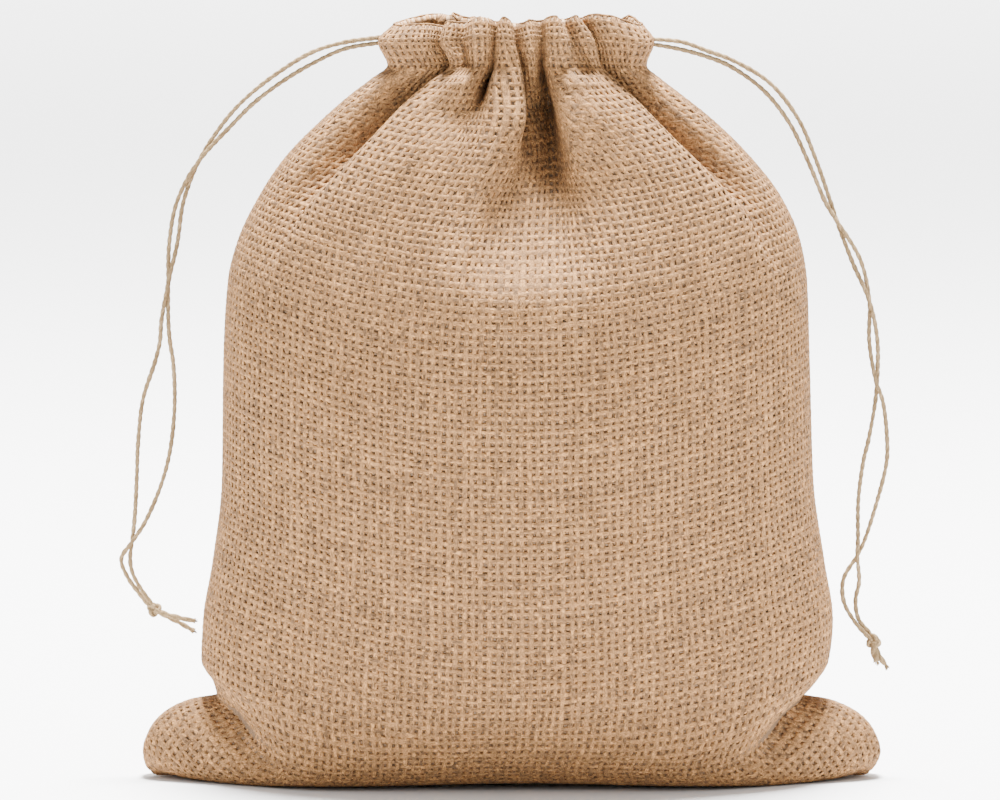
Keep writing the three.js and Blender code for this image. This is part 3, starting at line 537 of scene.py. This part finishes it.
RIGHT_PAIR = [
    (37.55, 198.6, 0.72, 0), (44.6, 197.6, 1.00, 0), (51.3, 195.5, 0.75, 0), (57.8, 193.0, 0.85, 0), (67.5, 186.6, 1.30, 0),
    (74.8, 177.4, 1.30, 0), (79.8, 166.6, 1.10, 15), (84.0, 155.8, 0.86, 40), (86.5, 150.4, 0.76, 90), (91.8, 139.6, 1.10, 180),
    (95.3, 128.8, 0.76, 270), (96.4, 118.0, 1.10, 360), (97.3, 107.2, 0.82, 440), (98.0, 101.8, 1.05, 520), (97.7, 91.0, 2.55, 540),
    (97.0, 85.6, 3.10, 540), (95.0, 74.8, 2.50, 540), (93.3, 64.0, 1.00, 570), (92.3, 59.9, 0.77, 630), (90.7, 53.2, 2.15, 720),
    (90.3, 47.8, 1.60, 720), (92.2, 42.4, 0.74, 755), (95.4, 38.6, 0.72, 768)]
SHIFT = np.array((SHIFT_X, SHIFT_Y, 0.0))


def strand_points(pair, hand, side):
    p = np.array(pair, float)
    ahead, behind = np.vstack([p[1:], p[-1:]]), np.vstack([p[:1], p[:-1]])
    d = (ahead - behind)[:, :2]
    d /= np.linalg.norm(d, axis=1, keepdims=True)
    across = np.stack([-d[:, 1], d[:, 0]], 1) * -side
    a, k = np.radians(p[:, 3]), hand * p[:, 2]
    return np.stack([p[:, 0] + across[:, 0] * k * np.cos(a), -k * np.sin(a), p[:, 1] + across[:, 1] * k * np.cos(a)], 1) + SHIFT


def curve(points, step):
    """A smooth line through the points, in even steps."""
    p = np.asarray(points, float)
    s = np.r_[0, np.cumsum(np.sqrt(np.linalg.norm(np.diff(p, axis=0), axis=1)))]
    t = np.gradient(p, s, axis=0)
    at = np.linspace(0, s[-1], 40 * len(p))
    i = np.clip(np.searchsorted(s, at, side="right") - 1, 0, len(s) - 2)
    h = (s[i + 1] - s[i])[:, None]
    u = (at - s[i])[:, None] / h
    fine = (2 * u**3 - 3 * u**2 + 1) * p[i] + (u**3 - 2 * u**2 + u) * h * t[i] + (3 * u**2 - 2 * u**3) * p[i + 1] + (u**3 - u**2) * h * t[i + 1]
    length = np.linalg.norm(np.diff(fine, axis=0), axis=1).sum()
    return even(fine, max(3, int(round(length / step))))


def frames(line, closed=False):
    """Two directions across a line that turn no more than the line does."""
    tan = np.roll(line, -1, 0) - np.roll(line, 1, 0) if closed else np.gradient(line, axis=0)
    tan = tan / np.linalg.norm(tan, axis=1, keepdims=True)
    n = np.cross(tan[0], (0.3, 1, 0.2))
    n /= np.linalg.norm(n)
    out = []
    for t in tan:
        n = n - t * (n @ t)
        n /= np.linalg.norm(n)
        out.append(n.copy())
    out = np.array(out)
    if closed:                       # spread the twist that is left over the whole line
        last = out[-1] - tan[0] * (out[-1] @ tan[0])
        left = math.atan2(np.cross(out[0], last) @ tan[0], out[0] @ last)
        for i, t in enumerate(tan):
            a = -left * i / len(tan)
            out[i] = out[i] * math.cos(a) + np.cross(t, out[i]) * math.sin(a)
    return out, np.cross(tan, out)


class Twine:
    """Collects twisted strands into one mesh."""

    def __init__(self):
        self.v, self.q, self.t, self.n = [], [], [], 0

    def add(self, verts, quads, tones):
        self.v.append(verts)
        self.q.append(quads + self.n)
        self.t.append(tones)
        self.n += len(verts)

    def strand(self, line, radius, twist, sides=12, plies=2, closed=False, ends=(1.0, 1.0), apart=0.4):
        """plies: how many yarns are twisted together. twist: length of one turn. ends: radius share at the two ends."""
        a, b = frames(line, closed)
        m = len(line)
        along = np.r_[0, np.cumsum(np.linalg.norm(np.diff(line, axis=0), axis=1))]
        turn = along / twist * 2 * math.pi
        if closed:
            turn = np.round(along[-1] / twist * plies) / plies * 2 * math.pi * np.arange(m) / m
        th = np.arange(sides) * 2 * math.pi / sides
        o, rho = apart * radius, (1 - apart) * radius
        local = (th + math.pi / plies) % (2 * math.pi / plies) - math.pi / plies
        sn = np.minimum(1, np.abs(o * np.sin(local)) / rho)
        r = o * np.cos(local) + rho * np.sqrt(1 - sn * sn)
        size = np.interp(np.linspace(0, 1, m), [0, 0.12, 0.85, 1], [ends[0], 1, 1, ends[1]])
        size = size * (1 + wander(1, m, 9, 0.05)[0])
        ang = th[None] + turn[:, None]
        ring = line[:, None] + (size[:, None] * r[None])[..., None] * (np.cos(ang)[..., None] * a[:, None] + np.sin(ang)[..., None] * b[:, None])
        base = np.arange(m * sides).reshape(m, sides)
        nxt = np.roll(base, -1, 0)
        lo, hi = (base, nxt) if closed else (base[:-1], nxt[:-1])
        q = np.stack([lo, np.roll(lo, -1, 1), np.roll(hi, -1, 1), hi], -1)
        ply = ((th + math.pi / sides + math.pi / plies) // (2 * math.pi / plies)).astype(int) % plies
        slow = wander(plies, m, 16, 1.0)
        tn = np.select([slow > 0.75, slow < -0.75], [1, 2], 0)[:, : len(lo)].T[:, ply]
        verts = ring.reshape(-1, 3)
        q, tn = q.reshape(-1, 4), tn.reshape(-1)
        if not closed:                # a fan of quads closes each end
            k = np.arange(1, sides - 2, 2)
            q = np.concatenate([q, np.stack([base[0, 0] + 0 * k, base[0, k + 2], base[0, k + 1], base[0, k]], -1),
                                np.stack([base[-1, 0] + 0 * k, base[-1, k], base[-1, k + 1], base[-1, k + 2]], -1)])
            tn = np.concatenate([tn, np.zeros(2 * len(k), int)])
        self.add(verts, q, tn)

    def wisps(self, at, way, length, count, spread, radius=0.13):
        """Loose fibres at a cut end."""
        way = np.asarray(way, float) / np.linalg.norm(way)
        for _ in range(count):
            d = way + RNG.normal(0, spread, 3)
            d /= np.linalg.norm(d)
            bend = RNG.normal(0, 0.12, 3)
            u = np.linspace(0, 1, 6)[:, None] * length * RNG.uniform(0.6, 1.1)
            self.strand(np.asarray(at) + RNG.normal(0, 0.18, 3) + d * u + bend * u * u * 0.2, radius, 3.0, sides=4, plies=2, ends=(1, 0.25), apart=0.0)

    def made(self, name):
        return mesh_object(name, np.concatenate(self.v), np.concatenate(self.q), np.concatenate(self.t), twine_mats)


def trefoil(size, lean, middle, n=110):
    """The line of a tightened overhand knot, its face to the front."""
    t = np.arange(n) * 2 * math.pi / n
    p = np.stack([np.sin(t) + 2 * np.sin(2 * t), -np.sin(3 * t) * 0.9, np.cos(t) - 2 * np.cos(2 * t)], 1) * size
    a = math.radians(lean)
    x, z = p[:, 0] * math.cos(a) + p[:, 2] * math.sin(a), -p[:, 0] * math.sin(a) + p[:, 2] * math.cos(a)
    return np.stack([x, p[:, 1], z], 1) + middle


KNOT_AT = {"left": np.array((-97.4, 0, 45.4)) + SHIFT, "right": np.array((96.8, 0, 36.7)) + SHIFT}
for side, pair, out in (("left", LEFT_PAIR, -1), ("right", RIGHT_PAIR, 1)):
    for which, hand in (("upper", -1), ("lower", 1)):
        pts = strand_points(pair, hand, out)
        # from inside the casing into the knot
        line = curve(np.vstack([pts[:1] + (-out * 3.2, 0, 0.3), pts, pts[-1:] * 0.3 + KNOT_AT[side] * 0.7]), 0.42)
        tw = Twine()
        tw.strand(line, 0.66, 4.6, apart=0.22)
        o = tw.made(f"twine_{side}_{which}")
        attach(o, "root")
        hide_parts(f"strand_{side}_{which}")

# The free ends of each knot: places from the middle of the knot (x, z), its side to the front or back, radius, share
# of the radius at the end, length and number of the loose fibres.
ENDS = {
    "left": [(((0, 0), (3.4, -1.3), (7.2, -2.3), (11.2, -3.0)), -0.55, 0.78, 1.15, 0.7, 6),
             (((0, 0), (3.3, -1.9), (6.9, -3.8), (10.8, -6.1)), 0.55, 0.78, 1.1, 0.7, 6)],
    "right": [(((0, 0), (0.2, -2.6), (0.5, -4.2), (0.9, -5.4)), -0.55, 1.10, 1.05, 0.9, 12),
              (((0, 0), (1.0, -2.8), (2.2, -5.0), (3.2, -6.4)), 0.45, 0.80, 0.85, 1.6, 14)]}
for side, lean in (("left", 20), ("right", 65)):
    mid = KNOT_AT[side]
    tw = Twine()
    tw.strand(trefoil(0.53, lean, mid), 0.80, 9.0, sides=12, closed=True, apart=0.36)
    for route, y, radius, end, loose, count in ENDS[side]:
        line = curve([mid + np.array((px, y * (1 + k / 3), pz)) for k, (px, pz) in enumerate(route)], 0.42)
        tw.strand(line, radius, 6.5, ends=(1.0, end), apart=0.3)
        tw.wisps(line[-1], line[-1] - line[-4], loose, count, 0.2)
    o = tw.made(f"twine_knot_{side}")
    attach(o, "root")
    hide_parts(f"knot_{side}")

# ---- stage ----------------------------------------------------------------------------
bpy.ops.mesh.primitive_plane_add(size=14, location=(0, 3.0, 0))
floor = bpy.context.object
floor.name = "floor"
floor.data.materials.append(material("pale_floor", (0.8, 0.8, 0.8), 0.9))

world = bpy.data.worlds.new("studio")
bpy.context.scene.world = world
world.use_nodes = True
bg = world.node_tree.nodes["Background"]
bg.inputs["Color"].default_value = (1, 1, 1, 1)
bg.inputs["Strength"].default_value = 1.0


def area_light(name, at, to, size, power):
    data = bpy.data.lights.new(name, "AREA")
    data.shape, data.size, data.energy = "DISK", size, power
    o = bpy.data.objects.new(name, data)
    o.location = at
    o.rotation_euler = (Vector(to) - Vector(at)).to_track_quat("-Z", "Y").to_euler()
    bpy.context.scene.collection.objects.link(o)
    return o


area_light("key", (0.05, 0.28, 1.93), (0, 0, 0.1), 0.6, 380)
area_light("behind", (0, 5.0, 3.5), (0, 5.0, 0), 4.0, 900)

cam_data = bpy.data.cameras.new("camera")
cam = bpy.data.objects.new("camera", cam_data)
bpy.context.scene.collection.objects.link(cam)
bpy.context.scene.camera = cam
ELEV, DIST, PX = 5.5, 2.3, 0.2692 * MM
cam_data.sensor_width = 36
cam_data.lens = 36 * DIST / (1000 * PX)
cam_data.clip_end = 60
aim = Vector((((500 - 515) * 0.27 + SHIFT_X) * MM, 0, (777 - 400) * PX + 0.0007))
e = math.radians(ELEV)
cam.location = aim + Vector((0, -math.cos(e), math.sin(e))) * DIST
cam.rotation_euler = (aim - cam.location).to_track_quat("-Z", "Y").to_euler()
